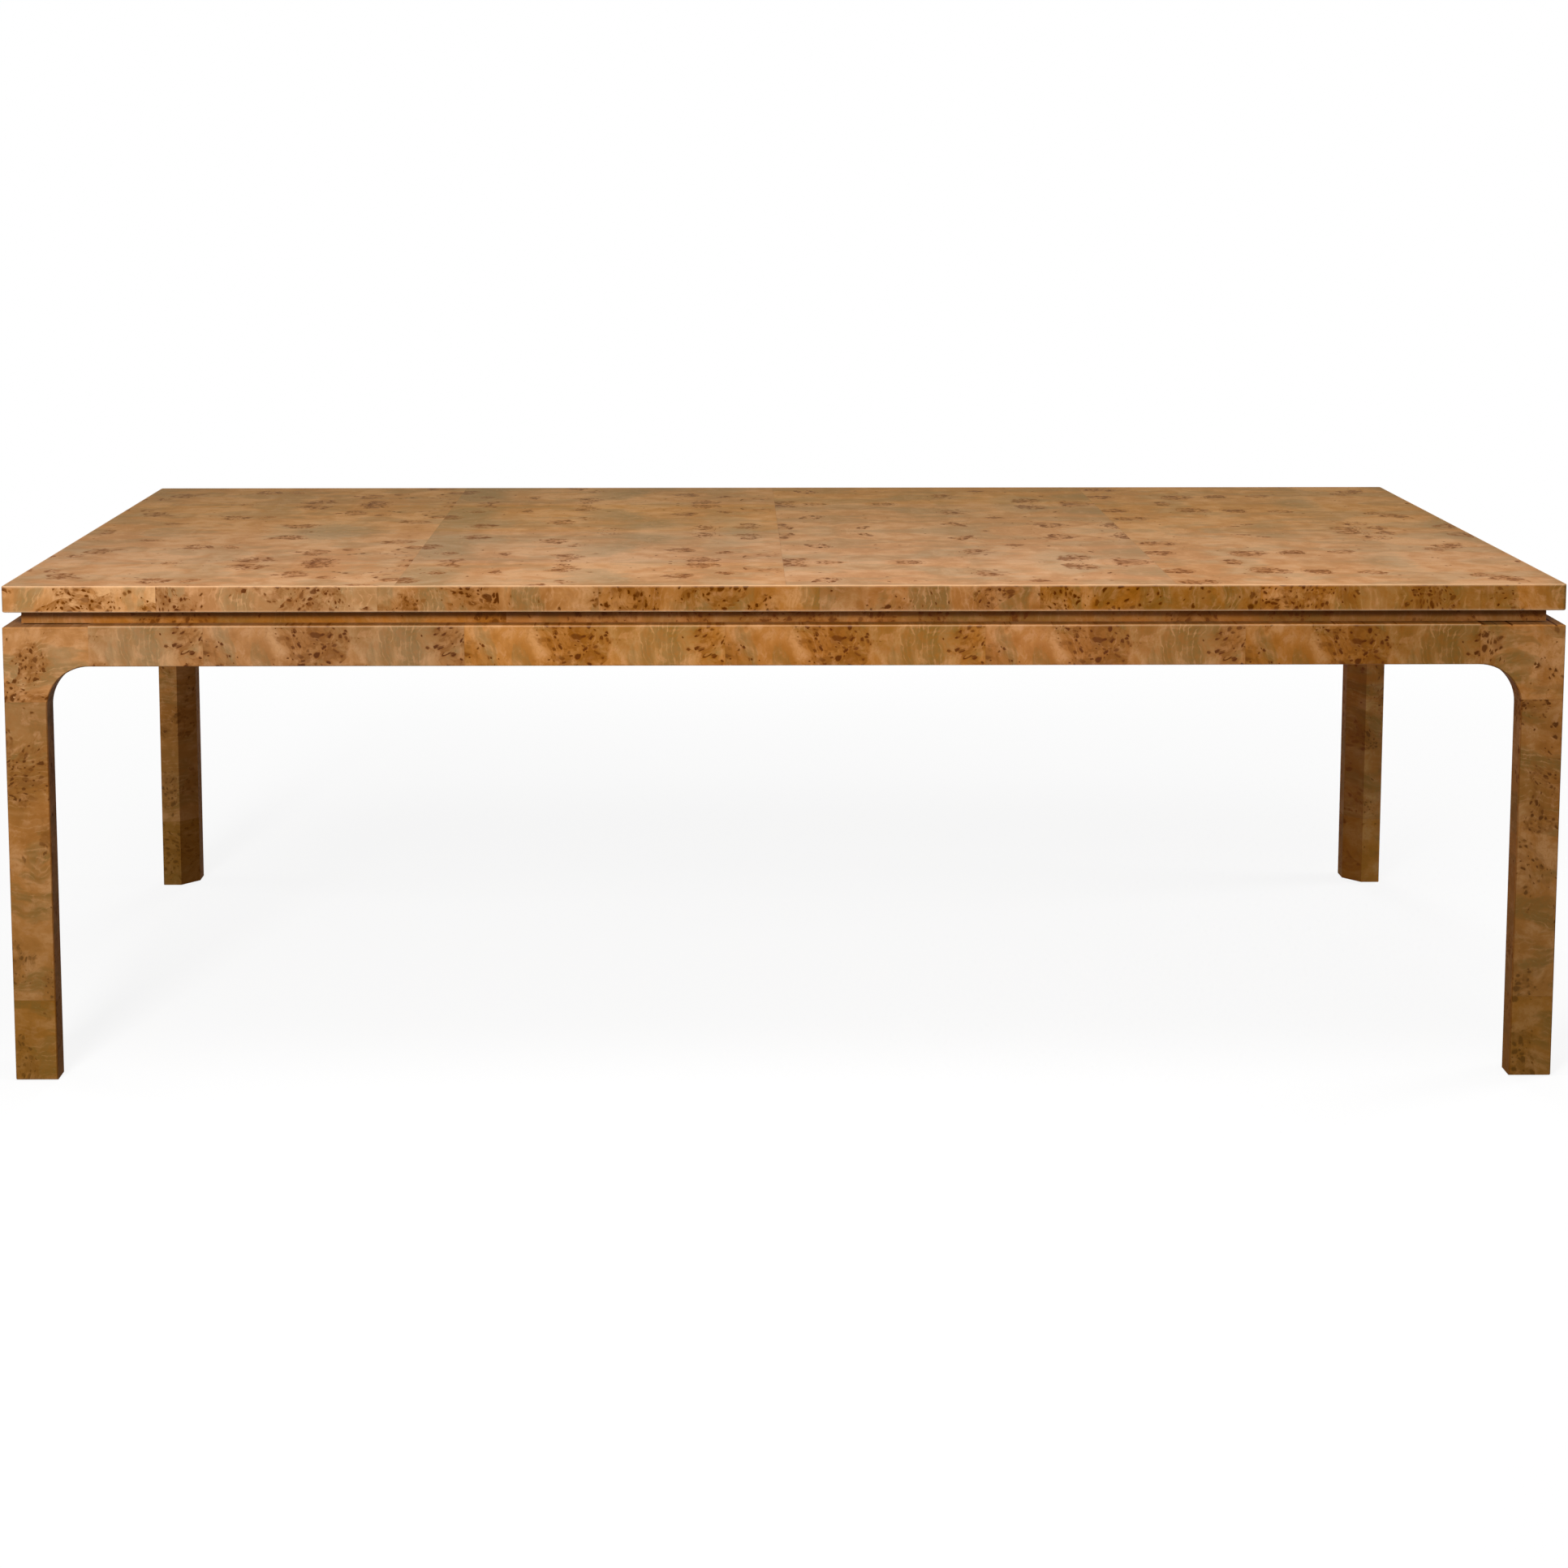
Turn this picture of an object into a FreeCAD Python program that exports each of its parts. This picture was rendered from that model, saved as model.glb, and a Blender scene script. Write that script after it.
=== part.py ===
import FreeCAD, Part
import math
import os

# A rectangular parsons dining table in millimetres: X along its length, -Y its front, Z up from the floor.

# Whole table
table_length = 2340.0
table_depth = 1067.0
table_height = 762.0
edge_radius = 2.0

# Top: a board with strips glued under its rim
top_thickness = 40.0
board_thickness = 22.0
top_corner_radius = 6.0
rim_margin = 10.0

# Frame rails, whose upper part shows as a neck set back under the top
neck_height = 20.0
neck_inset = 23.0
rail_thickness = 24.0

# Apron facings, flush with the legs
apron_height = 62.0
apron_lip = 4.0

# Leg blocks: a post with a cut-off inner corner and two arms with arches
leg_width = 64.0
leg_chamfer = 30.0
arch_radius = 64.0
leg_top_gap = 2.0

# Glides let into the feet
glide_radius = 12.0
glide_recess = 3.0
glide_proud = 1.5
glide_clearance = 0.3
glide_edge_radius = 0.8

# Corner braces and the bolts that pull the legs up to them
brace_setback = 8.0
brace_thickness = 30.0
brace_height = 48.0
bolt_radius = 4.0
bolt_clearance = 0.5
bolt_embed = 42.0
bolt_tail = 5.0
washer_radius = 11.0
washer_thickness = 2.0
washer_gap = 2.0
nut_across_flats = 13.0
nut_height = 6.5

# Screws from the braces into the frame rails
brace_screw_radius = 2.5
brace_screw_head_radius = 4.5
brace_screw_head_height = 3.0
brace_screw_land = 12.0
brace_screw_bite = 15.0
brace_screw_spacing = 24.0
pocket_clearance = 0.8

# Cross rails with stub tenons in the long frame rails
cross_rail_thickness = 24.0
tenon_length = 12.0
tenon_thickness = 12.0
tenon_height = 34.0
tenon_shoulder = 6.0
tenon_clearance = 0.1
rim_clearance = 1.0
cross_rail_names = ("left", "centre", "right")
cross_rail_shares = (-0.55, 0.0, 0.55)

# Angle brackets between the frame rails and the top
bracket_flange = 28.0
bracket_thickness = 2.5
bracket_width = 24.0
bracket_bend_radius = 2.0
bracket_hole_clearance = 0.3
bracket_screw_radius = 2.2
bracket_screw_head_radius = 4.2
bracket_screw_head_height = 2.6
bracket_screw_length = 15.0
long_bracket_shares = (-0.75, -0.25, 0.25, 0.75)
short_bracket_shares = (-0.3, 0.3)

# Screws from the frame rails into the apron facings
apron_screw_radius = 2.0
apron_screw_head_radius = 4.0
apron_screw_head_depth = 2.5
apron_screw_bite = 12.0
long_apron_screw_shares = (-0.86, -0.4, 0.4, 0.86)
short_apron_screw_shares = (-0.6, 0.6)

# Every screw's point, how far a cutter runs past what it cuts, and how near two equal places lie
screw_point = 4.0
overrun = 5.0
same_place = 0.0001

# Heights above the floor
z_top_under = table_height - top_thickness
z_board_under = table_height - board_thickness
z_apron_top = z_top_under - neck_height
z_apron_bottom = z_apron_top - apron_height
z_rail_bottom = z_apron_bottom + apron_lip
z_rail_middle = (z_rail_bottom + z_apron_top) / 2
z_leg_top = z_apron_top - leg_top_gap
z_arch_spring = z_apron_bottom - arch_radius

# Distances in from the table's outer faces
half_length = table_length / 2
half_depth = table_depth / 2
arm_thickness = leg_width - leg_chamfer
block_reach = leg_width + arch_radius
rail_back = neck_inset + rail_thickness
rim_width = rail_back + bracket_flange + rim_margin
brace_start = block_reach + brace_setback
brace_end = brace_start + brace_thickness * math.sqrt(2)
bolt_spacing = 2 * washer_radius + washer_gap

# Distances in from a corner along its diagonal
diagonal_chamfer = (leg_width + arm_thickness) / math.sqrt(2)
diagonal_brace = (brace_start + rail_back) / math.sqrt(2)
diagonal_washer = diagonal_brace + brace_thickness
diagonal_nut = diagonal_washer + washer_thickness
diagonal_bolt_start = diagonal_chamfer - bolt_embed
diagonal_bolt_end = diagonal_nut + nut_height + bolt_tail

origin = FreeCAD.Vector(0, 0, 0)
along_x = FreeCAD.Vector(1, 0, 0)
along_y = FreeCAD.Vector(0, 1, 0)
along_z = FreeCAD.Vector(0, 0, 1)
inward = (along_x + along_y).normalize()

# Each side of the table: distance out to its face, half its run, and its turn from the front in degrees
quarter_turn = 90
sides = {
    "front": (half_depth, half_length, 0),
    "right": (half_length, half_depth, quarter_turn),
    "back": (half_depth, half_length, 2 * quarter_turn),
    "left": (half_length, half_depth, 3 * quarter_turn),
}
long_sides = ("front", "back")

# Each corner of the table: the mirror planes that take the front left corner to it
corners = {
    "front_left": (),
    "front_right": (along_x,),
    "back_left": (along_y,),
    "back_right": (along_x, along_y),
}


def block(x_low, x_high, y_low, y_high, z_low, z_high):
    size = (x_high - x_low, y_high - y_low, z_high - z_low)
    return Part.makeBox(*size, FreeCAD.Vector(x_low, y_low, z_low))


def prism(points, travel):
    outline = Part.makePolygon(points + points[:1])
    return Part.Face(outline).extrude(travel)


def upright(plan, z_low, z_high):
    points = [FreeCAD.Vector(x, y, z_low) for x, y in plan]
    return prism(points, along_z * (z_high - z_low))


def lies(edge, test):
    return all(test(corner.Point) for corner in edge.Vertexes)


def edges_where(shape, test):
    return [edge for edge in shape.Edges if lies(edge, test)]


def near(a, b):
    return math.isclose(a, b, abs_tol=same_place)


def turned_about_z(profile, place, direction):
    """A round piece: a profile of radius and height turned about Z, then set along a direction."""
    points = [FreeCAD.Vector(radius, 0, height) for radius, height in profile]
    face = Part.Face(Part.makePolygon(points + points[:1]))
    solid = face.revolve(origin, along_z, 4 * quarter_turn)
    solid.Placement = FreeCAD.Placement(place, FreeCAD.Rotation(along_z, direction))
    return solid


def rod(radius, place, direction, length):
    return Part.makeCylinder(radius, length, place, direction)


def pan_screw(place, direction, length, radius, head_radius, head_height):
    """A screw that goes in along a direction, with the underside of its head at a place."""
    profile = [
        (0, -head_height),
        (head_radius, -head_height),
        (head_radius, 0),
        (radius, 0),
        (radius, length - screw_point),
        (0, length),
    ]
    return turned_about_z(profile, place, direction)


def sunk_screw(place, direction, length, radius, head_radius, head_depth):
    """A screw that goes in along a direction, with its head flush at a place."""
    profile = [
        (0, 0),
        (head_radius, 0),
        (radius, head_depth),
        (radius, length - screw_point),
        (0, length),
    ]
    return turned_about_z(profile, place, direction)


def on_side(shape, side):
    """Sets a shape, modelled with the table's outer face at y = 0, on one side of the table."""
    reach, _, turn = sides[side]
    placed = shape.translated(along_y * -reach)
    placed.rotate(origin, along_z, turn)
    return placed


def from_corner(u, v, z):
    """A point measured inwards from the front left corner's two outer faces."""
    return FreeCAD.Vector(u - half_length, v - half_depth, z)


def at_corner(shape, corner):
    """Mirrors a shape that is modelled at the front left corner."""
    for plane in corners[corner]:
        shape = shape.mirror(origin, plane)
    return shape


def at_all_corners(shapes):
    return [at_corner(shape, corner) for corner in corners for shape in shapes]


def save(name, shapes):
    solids = [solid for shape in shapes for solid in shape.Solids]
    whole = solids[0] if len(solids) == 1 else Part.makeCompound(solids)
    whole.exportStep(f"parts/{name}.step")


# Top board and rim strips
def top_slab(z_low, z_high, z_eased):
    """The top's rounded outline between two heights, eased round the edge at one of them."""
    slab = block(-half_length, half_length, -half_depth, half_depth, z_low, z_high)
    uprights = [edge for edge in slab.Edges if near(edge.Length, z_high - z_low)]
    slab = slab.makeFillet(top_corner_radius, uprights)
    return slab.makeFillet(edge_radius, edges_where(slab, lambda p: near(p.z, z_eased)))


def top_board():
    return top_slab(z_board_under, table_height, table_height)


def top_rim(side):
    """One strip of the rim, mitred to its neighbours."""
    _, run, _ = sides[side]
    plan = [(-run, 0), (run, 0), (run - rim_width, rim_width), (rim_width - run, rim_width)]
    strip = on_side(upright(plan, z_top_under, z_board_under), side)
    return strip.common(top_slab(z_top_under, z_board_under, z_top_under))


# Frame rails
def cross_rail_x(name):
    share = cross_rail_shares[cross_rail_names.index(name)]
    return share * (half_length - block_reach)


def cross_tenon(name, clearance):
    """The bar through a cross rail whose ends are its tenons, grown by a clearance to make the mortises."""
    thick = tenon_thickness / 2 + clearance
    tall = tenon_height / 2 + clearance
    long = half_depth - rail_back + tenon_length + clearance
    middle = cross_rail_x(name)
    z_low = z_rail_middle - tall
    return block(middle - thick, middle + thick, -long, long, z_low, z_rail_middle + tall)


def frame_rail(side, screws):
    """A mitred rail, cut away under the neck at both ends for the leg blocks."""
    _, run, _ = sides[side]
    outer = run - neck_inset
    inner = run - rail_back
    plan = [(-outer, neck_inset), (outer, neck_inset), (inner, rail_back), (-inner, rail_back)]
    rail = upright(plan, z_rail_bottom, z_top_under)
    notch = (neck_inset - overrun, rail_back + overrun, z_rail_bottom - overrun, z_apron_top)
    rail = rail.cut(block(run - block_reach, run + overrun, *notch))
    rail = rail.cut(block(-run - overrun, block_reach - run, *notch))
    rail = on_side(rail, side)
    if side in long_sides:
        rail = rail.cut([cross_tenon(name, tenon_clearance) for name in cross_rail_names])
    return rail.cut(screws)


# Apron facings
def apron(side, screws):
    _, run, _ = sides[side]
    reach = run - block_reach
    board = block(-reach, reach, 0, neck_inset, z_apron_bottom, z_apron_top)
    outer_face = edges_where(board, lambda p: near(p.y, 0))
    long_edges = [edge for edge in outer_face if near(edge.Length, 2 * reach)]
    return on_side(board.makeFillet(edge_radius, long_edges), side).cut(screws)


def apron_screws(side):
    _, run, _ = sides[side]
    shares = long_apron_screw_shares if side in long_sides else short_apron_screw_shares
    length = rail_thickness + apron_screw_bite
    shape = (length, apron_screw_radius, apron_screw_head_radius, apron_screw_head_depth)
    places = [FreeCAD.Vector(share * (run - block_reach), rail_back, z_rail_middle) for share in shares]
    return [on_side(sunk_screw(place, -along_y, *shape), side) for place in places]


# Leg blocks, modelled at the front left corner
def leg_face(along):
    """The outline of a leg's outer face with its arm and arch, running inwards along one side."""

    def at(reach, z):
        return from_corner(0, 0, z) + along * reach

    foot = at(leg_width, glide_proud)
    spring = at(leg_width, z_arch_spring)
    crown = at(block_reach, z_apron_bottom)
    arch_rise = arch_radius * math.sin(math.pi / 4)
    arch_middle = at(block_reach - arch_rise, z_arch_spring + arch_rise)
    arm_top = at(block_reach, z_leg_top)
    corner_top = at(0, z_leg_top)
    corner_foot = at(0, glide_proud)
    edges = [
        Part.LineSegment(corner_foot, foot).toShape(),
        Part.LineSegment(foot, spring).toShape(),
        Part.Arc(spring, arch_middle, crown).toShape(),
        Part.LineSegment(crown, arm_top).toShape(),
        Part.LineSegment(arm_top, corner_top).toShape(),
        Part.LineSegment(corner_top, corner_foot).toShape(),
    ]
    return Part.Face(Part.Wire(edges))


def leg(bolts):
    plan = [
        (0, 0),
        (leg_width, 0),
        (leg_width, arm_thickness),
        (arm_thickness, leg_width),
        (0, leg_width),
    ]
    post = prism([from_corner(u, v, glide_proud) for u, v in plan], along_z * (z_leg_top - glide_proud))
    front_arm = leg_face(along_x).extrude(along_y * arm_thickness)
    side_arm = leg_face(along_y).extrude(along_x * arm_thickness)
    whole = post.fuse([front_arm, side_arm]).removeSplitter()
    outer = [edge for edge in whole.Edges if lies(edge, on_front_face) or lies(edge, on_left_face)]
    eased = [edge for edge in outer if not lies(edge, on_apron_joint)]
    whole = whole.makeFillet(edge_radius, eased)
    seat = rod(glide_radius + glide_clearance, glide_place(), along_z, glide_proud + glide_recess)
    return whole.cut(bolts + [seat])


def on_front_face(point):
    return near(point.y, -half_depth)


def on_left_face(point):
    return near(point.x, -half_length)


def on_apron_joint(point):
    """True for a point on the end face of a front left leg's arm, where the apron meets it."""
    return near(point.x, block_reach - half_length) or near(point.y, block_reach - half_depth)


# Glides
def glide_place():
    middle = leg_width / 2
    return from_corner(middle, middle, 0)


def glide():
    pad = rod(glide_radius, glide_place(), along_z, glide_proud + glide_recess)
    return pad.makeFillet(glide_edge_radius, edges_where(pad, lambda p: near(p.z, 0)))


# Corner braces, bolts, washers and nuts, modelled at the front left corner
def on_diagonal(distance, z):
    return from_corner(0, 0, z) + inward * distance


def bolt_heights():
    return (z_rail_middle - bolt_spacing / 2, z_rail_middle + bolt_spacing / 2)


def hanger_bolts():
    length = diagonal_bolt_end - diagonal_bolt_start
    return [rod(bolt_radius, on_diagonal(diagonal_bolt_start, z), inward, length) for z in bolt_heights()]


def hanger_washers():
    washers = []
    for z in bolt_heights():
        place = on_diagonal(diagonal_washer, z)
        disc = rod(washer_radius, place, inward, washer_thickness)
        washers.append(disc.cut(rod(bolt_radius + bolt_clearance, place, inward, washer_thickness)))
    return washers


def hanger_nuts():
    sides_of_hexagon = 6
    to_corner = nut_across_flats / (2 * math.cos(math.pi / sides_of_hexagon))
    turns = [2 * math.pi * step / sides_of_hexagon for step in range(sides_of_hexagon)]
    points = [FreeCAD.Vector(to_corner * math.cos(t), to_corner * math.sin(t), 0) for t in turns]
    hexagon = prism(points, along_z * nut_height)
    hexagon = hexagon.cut(rod(bolt_radius, origin, along_z, nut_height))
    nuts = []
    for z in bolt_heights():
        nut = hexagon.copy()
        turn = FreeCAD.Rotation(along_z, inward)
        nut.Placement = FreeCAD.Placement(on_diagonal(diagonal_nut, z), turn)
        nuts.append(nut)
    return nuts


def brace_screw_places():
    """The head seats of a brace's screws with the way that each goes in."""
    along = (brace_start + brace_end) / 2
    seat = rail_back + brace_screw_land
    places = []
    for z in (z_rail_middle - brace_screw_spacing / 2, z_rail_middle + brace_screw_spacing / 2):
        places.append((from_corner(along, seat, z), -along_y))
        places.append((from_corner(seat, along, z), -along_x))
    return places


def brace_screws():
    length = brace_screw_land + brace_screw_bite
    shape = (length, brace_screw_radius, brace_screw_head_radius, brace_screw_head_height)
    return [pan_screw(place, way, *shape) for place, way in brace_screw_places()]


def corner_brace(screws):
    """A diagonal plank between two frame rails, bored for the bolts and pocketed for the screws."""
    plan = [
        (brace_start, rail_back),
        (brace_end, rail_back),
        (rail_back, brace_end),
        (rail_back, brace_start),
    ]
    foot = [from_corner(u, v, z_rail_middle - brace_height / 2) for u, v in plan]
    brace = prism(foot, along_z * brace_height)
    bore_length = brace_thickness + 2 * overrun
    start = diagonal_brace - overrun
    bore = bolt_radius + bolt_clearance
    holes = [rod(bore, on_diagonal(start, z), inward, bore_length) for z in bolt_heights()]
    pocket = brace_screw_head_radius + pocket_clearance
    pockets = [rod(pocket, place, -way, brace_thickness) for place, way in brace_screw_places()]
    return brace.cut(holes + pockets + screws)


# Cross rails
def cross_rail(name):
    """A rail from front to back, raised between the rim strips to carry the board."""
    end = half_depth - rail_back
    step = half_depth - rim_width - rim_clearance
    z_low = z_rail_middle - tenon_height / 2 - tenon_shoulder
    x_low = cross_rail_x(name) - cross_rail_thickness / 2
    outline = [
        (-end, z_low),
        (end, z_low),
        (end, z_top_under),
        (step, z_top_under),
        (step, z_board_under),
        (-step, z_board_under),
        (-step, z_top_under),
        (-end, z_top_under),
    ]
    points = [FreeCAD.Vector(x_low, y, z) for y, z in outline]
    rail = prism(points, along_x * cross_rail_thickness)
    return rail.fuse(cross_tenon(name, 0)).removeSplitter()


# Angle brackets and their screws, modelled with the table's outer face at y = 0
def bracket_places(side):
    _, run, _ = sides[side]
    shares = long_bracket_shares if side in long_sides else short_bracket_shares
    return [share * (run - block_reach) for share in shares]


def bracket_screw_seats(x):
    """The head seats of a bracket's two screws with the way that each goes in."""
    middle = (bracket_flange + bracket_thickness) / 2
    into_rail = FreeCAD.Vector(x, rail_back + bracket_thickness, z_top_under - middle)
    into_top = FreeCAD.Vector(x, rail_back + middle, z_top_under - bracket_thickness)
    return [(into_rail, -along_y), (into_top, along_z)]


def top_bracket(x):
    outline = [
        (0, 0),
        (bracket_flange, 0),
        (bracket_flange, bracket_thickness),
        (bracket_thickness, bracket_thickness),
        (bracket_thickness, bracket_flange),
        (0, bracket_flange),
    ]
    x_low = x - bracket_width / 2
    points = [FreeCAD.Vector(x_low, rail_back + y, z_top_under - drop) for y, drop in outline]
    angle = prism(points, along_x * bracket_width)
    bend = edges_where(angle, lambda p: near(p.y, rail_back + bracket_thickness)
                       and near(p.z, z_top_under - bracket_thickness))
    angle = angle.makeFillet(bracket_bend_radius, bend)
    hole = bracket_screw_radius + bracket_hole_clearance
    seats = bracket_screw_seats(x)
    return angle.cut([rod(hole, place, way, bracket_thickness) for place, way in seats])


def bracket_screws(x):
    shape = (
        bracket_screw_length,
        bracket_screw_radius,
        bracket_screw_head_radius,
        bracket_screw_head_height,
    )
    return [pan_screw(place, way, *shape) for place, way in bracket_screw_seats(x)]


def side_brackets(side):
    return [on_side(top_bracket(x), side) for x in bracket_places(side)]


def side_bracket_screws(side):
    return [on_side(screw, side) for x in bracket_places(side) for screw in bracket_screws(x)]


# Build and save every piece
os.makedirs("parts", exist_ok=True)

corner_bolts = hanger_bolts()
corner_screws = brace_screws()
all_brace_screws = at_all_corners(corner_screws)
all_apron_screws = [screw for side in sides for screw in apron_screws(side)]
all_bracket_screws = [screw for side in sides for screw in side_bracket_screws(side)]

save("top_board", [top_board().cut(all_bracket_screws)])
for side in sides:
    save(f"top_rim_{side}", [top_rim(side).cut(all_bracket_screws)])
    save(f"frame_rail_{side}", [frame_rail(side, all_brace_screws + all_apron_screws + all_bracket_screws)])
    save(f"apron_{side}", [apron(side, all_apron_screws)])

front_left_leg = leg(corner_bolts)
front_left_brace = corner_brace(corner_screws)
for corner in corners:
    save(f"leg_{corner}", [at_corner(front_left_leg, corner)])
    save(f"corner_brace_{corner}", [at_corner(front_left_brace, corner)])

for name in cross_rail_names:
    save(f"cross_rail_{name}", [cross_rail(name)])

save("hanger_bolts", at_all_corners(corner_bolts))
save("hanger_washers", at_all_corners(hanger_washers()))
save("hanger_nuts", at_all_corners(hanger_nuts()))
save("brace_screws", all_brace_screws)
save("top_brackets", [bracket for side in sides for bracket in side_brackets(side)])
save("bracket_screws", all_bracket_screws)
save("apron_screws", all_apron_screws)
save("foot_glides", at_all_corners([glide()]))
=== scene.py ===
import math

import bpy
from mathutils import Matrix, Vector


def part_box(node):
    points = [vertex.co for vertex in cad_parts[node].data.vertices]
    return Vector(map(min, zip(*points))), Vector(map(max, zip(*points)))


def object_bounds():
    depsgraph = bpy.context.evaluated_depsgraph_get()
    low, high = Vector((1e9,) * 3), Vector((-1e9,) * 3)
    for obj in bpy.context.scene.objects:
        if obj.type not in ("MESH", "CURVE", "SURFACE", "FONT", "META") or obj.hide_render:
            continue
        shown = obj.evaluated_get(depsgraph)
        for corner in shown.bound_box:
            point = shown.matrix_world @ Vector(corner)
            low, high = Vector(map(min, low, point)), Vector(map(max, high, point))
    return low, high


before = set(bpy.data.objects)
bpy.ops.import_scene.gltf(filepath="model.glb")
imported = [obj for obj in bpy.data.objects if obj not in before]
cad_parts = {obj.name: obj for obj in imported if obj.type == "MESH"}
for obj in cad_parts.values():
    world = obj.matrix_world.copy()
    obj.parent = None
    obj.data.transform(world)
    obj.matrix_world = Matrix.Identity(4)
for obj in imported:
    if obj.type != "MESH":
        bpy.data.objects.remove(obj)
cad_low, cad_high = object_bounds()
rim_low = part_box("top_rim_front")[0]
apron_low, apron_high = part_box("apron_front")

# Camera: place in metres, turns in degrees, lens in millimetres, shifts as shares of the picture
CAMERA_PLACE = (-0.092, -4.197, 1.415)
CAMERA_TILT = 6.02
CAMERA_TURN = 0.475
CAMERA_LENS = 57.1
CAMERA_SHIFT = (0.025, -0.24)

# Sheets of veneer: their size and where one of them starts, in metres
TOP_SHEET = (cad_high.x / 2.0, 0.319)
TOP_START = (0.0, -0.01)
EDGE_SHEET = 0.33
EDGE_START = 0.05
APRON_SHEET = 0.39
APRON_START = -0.091
NECK_SHEET = 0.62
NECK_START = 0.2
LEG_SHEET = 0.46
LEG_START = 0.126

# Seams: their width in metres, the share of it that is darkest and how dark that is
SEAM_WIDTH = 0.0012
SEAM_CORE_SHARE = 0.3
SEAM_DARKNESS = 0.1

# Where sheets are cut from the burl: seeds, and how far apart the cuts may lie, in metres
TOP_CUT = 61.7
EDGE_CUT = 3.7
NECK_CUT = 11.0
LEG_CUT = 7.3
CUTS_APART = 20.0

# The apron's sheets: the one place they are cut from, and the figure's move from sheet to sheet, in metres
APRON_CUT = (5.3, 2.9)
APRON_DEEPER = 0.003

# Seeds of the sheets' tones and how far those tones and their saturation spread
TOP_TONES = (1965.7, 0.035)
EDGE_SPREAD = 0.16
APRON_TONES = (1311.2, 0.12)
NECK_TONES = (11.0, 0.07)
LEG_TONES = (422.3, 0.12)
SATURATION = (0.97, 1.03)

# Steps in the numbers of sheets: from row to row of the top, from leg to leg, and how many such steps
# go from front to back for one from left to right
ROW_STEP = 10.0
LEG_STEP = 7.0
BACK_LEG_STEPS = 3.0

# Paws, the clusters of knots: how many in a metre of veneer, how far they reach in metres
# and how strongly they stain it
TOP_PAWS = (8.8, 0.027, 0.65)
STRIP_PAWS = (10.0, 0.050, 0.4)

# How strongly the ground of the veneer shows its figure
TOP_CONTRAST = 0.55
NECK_CONTRAST = 0.6
FULL_CONTRAST = 1.0

# Painted sheen: the top paler, with a hue shift, from front to back, and the rest paler towards the left
# end and up the legs, with places in metres
TOP_DEPTH = (-0.5, 0.5)
TOP_PAINTED_SHEEN = (0.22, 0.02)
TOP_SHEEN_HUE = (0.499, 0.510)
SAME_HUE = 0.5
SHEEN_RUN = (-1.2, 0.5)
EDGE_SHEEN = 0.19
APRON_SHEEN = 0.12
LEG_SHEEN = 0.10
LEG_SHEEN_HEIGHTS = (0.45, 0.62)

# Painted highlights on the edges: where they begin and are full, in metres from the edge, how strong they
# are, and how much of them the apron's lower edge is spared, in metres
HIGHLIGHT_WIDTH = (0.004, 0.0005)
RIM_HIGHLIGHT_WIDTH = (0.004, 0.001)
EDGE_HIGHLIGHT = 0.4
APRON_HIGHLIGHT = 0.35
RIM_HIGHLIGHT = 0.55
APRON_FOOT_SPARED = 0.003

# Painted shade: how much darker the veneer is on the neck and in its corner under the top, on the ledge
# below it, at the top and the foot of the legs, and on their inner faces, with depths and heights in metres
NECK_PAINTED_SHADE = 0.22
NECK_CORNER_SHADE = 0.6
NECK_CORNER_SHADE_DEPTHS = (0.016, 0.008)
LEDGE_SHADE = 0.5
LEG_FOOT_SHADE = (0.1, 0.5)
LEG_FOOT_SHADE_HEIGHTS = (0.6, 0.0)
INNER_SHADE = 0.55

# Lacquer: how much it shines, the heights of the knots and the ground, its roughness there and its relief
TOP_GLOSS = 0.012
STRIP_GLOSS = 0.06
LEG_GLOSS = 0.004
LACQUER_HEIGHTS = (-1.0, 0.3)
LACQUER_ROUGHNESS = (0.55, 0.45)
LACQUER_BUMP = {"Strength": 0.12, "Distance": 0.0006}

# A face is level if so much of its direction is upright, and an inner one if it is turned to the middle
# of the table and lies further away from it than this, in metres
LEVEL = 0.7
INNER_FROM = 0.05

# Burl figure: how often each pattern comes back in a metre, and how far it bends the veneer, in metres
BEND = (9.0, 0.045)
CRINKLE = (85.0, 0.008)
FLAME_BEND = (24.0, 0.028)
PAW_EDGE_RATE = 40.0
TONE_RATES = (5.0, 26.0)
PATCH_RATES = (15.0, 6.0, 1.0)
WASH_RATE = 3.5
QUILT_RATE = 55.0
STREAK_RATES = (60.0, 8.0, 1.0)
GRAIN_RATE = 230.0
FLAME_RATE = 7.0
SMUDGE_RATE = 48.0
CONTOUR_RATE = 14.0

# Wavy ribs: the run from one to the next, in metres, and contour lines: how many a noise has
RIB_SPACING = 0.0085
CONTOUR_LEVELS = 18.0

# Moves, in metres, that keep these patterns from lying on each other
PATCH_MOVE = (3.1, 5.3)
WASH_MOVE = (9.1, 3.3)
QUILT_MOVE = (8.3, 0.7)
STREAK_MOVE = (6.6, 2.2)
GRAIN_MOVE = (2.7, 6.1)
FLAME_MOVE = (1.3, 4.4)

# Paws: the share of faint ones, their sizes and how ragged they are
PAW_FAINT_SHARE = 0.35
PAW_SIZES = (0.65, 1.3)
PAW_RAGGED = 1.7

# Knots: how many in a metre and the share of them outside the paws, the share in a paw,
# and their least size and its spread, as shares of a cell
LARGE_KNOTS = (64.0, 0.003)
SMALL_KNOTS = (120.0, 0.012)
PAW_KNOTS_SHARE = 0.6
KNOT_SIZE = 0.14
KNOT_SPREAD = 0.24

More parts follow.
